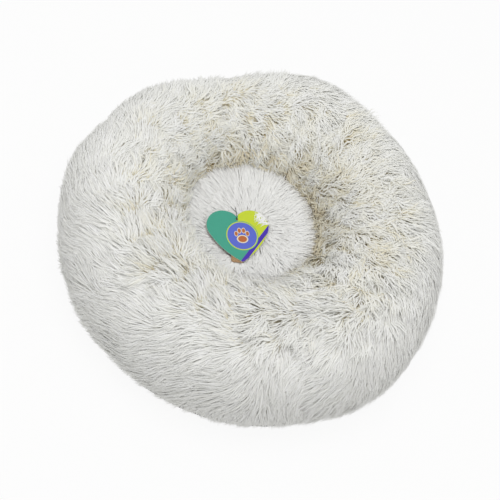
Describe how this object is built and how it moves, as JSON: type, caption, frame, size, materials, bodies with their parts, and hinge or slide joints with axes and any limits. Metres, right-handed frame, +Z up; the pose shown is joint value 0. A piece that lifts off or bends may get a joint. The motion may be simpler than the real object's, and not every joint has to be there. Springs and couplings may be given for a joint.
{
  "type": "round dog bed",
  "caption": "Round fur-cloth dog bed: a stuffed ring round a low crowned cushion, a zip in the flat base, and a heart-shaped card hanging from a loop.",
  "frame": {"origin": "on the floor, under the middle of the bed's outline", "axes": "+Z up, -Y the front, +X to the right seen from the front"},
  "size_m": [0.597, 0.5994, 0.1847],
  "materials": {
    "long_pile_fur_cloth": "long shaggy pile",
    "polyester_fibre": "loose fibre",
    "woven_polyester_base": "plain weave",
    "polyester_tape": "woven tape",
    "nylon_coil": "satin",
    "nickelled_zinc": "satin nickel",
    "elastic_cord": "braided",
    "kraft_paper": "uncoated",
    "printed_card": "printed, satin varnish"
  },
  "bodies": {
    "bed": {"bolster_cover": "long_pile_fur_cloth", "bolster_filling": "polyester_fibre", "cushion_cover": "long_pile_fur_cloth", "cushion_filling": "polyester_fibre", "base_cloth": "woven_polyester_base", "zip_tape_front": "polyester_tape", "zip_tape_rear": "polyester_tape", "zip_coil_front": "nylon_coil", "zip_coil_rear": "nylon_coil", "zip_stop_left": "nickelled_zinc", "zip_stop_right": "nickelled_zinc"},
    "zip_slider": {"zip_slider": "nickelled_zinc"},
    "zip_pull": {"zip_pull": "nickelled_zinc"},
    "hang_tag": {"tag_loop": "elastic_cord", "tag_leaf": "kraft_paper"},
    "tag_card": {"tag_card": "printed_card"}
  },
  "joints": [
    {"name": "slider_travel", "type": "slide", "parent": "bed", "child": "zip_slider", "axis": [1, 0, 0], "range_m": [0, 0.1937]},
    {"name": "pull_swing", "type": "hinge", "parent": "zip_slider", "child": "zip_pull", "pos_m": [-0.09685, 0.18592, 0.00115], "axis": [0, 1, 0], "range_deg": [0, 150]},
    {"name": "tag_lift", "type": "hinge", "parent": "bed", "child": "hang_tag", "pos_m": [-0.04583, 0.01466, 0.09105], "axis": [-0.8545, -0.5195, 0], "range_deg": [0, 80]},
    {"name": "card_fan", "type": "hinge", "parent": "hang_tag", "child": "tag_card", "pos_m": [-0.0357, -0.002, 0.09105], "axis": [0, 0, 1], "range_deg": [-10, 10]}
  ]
}
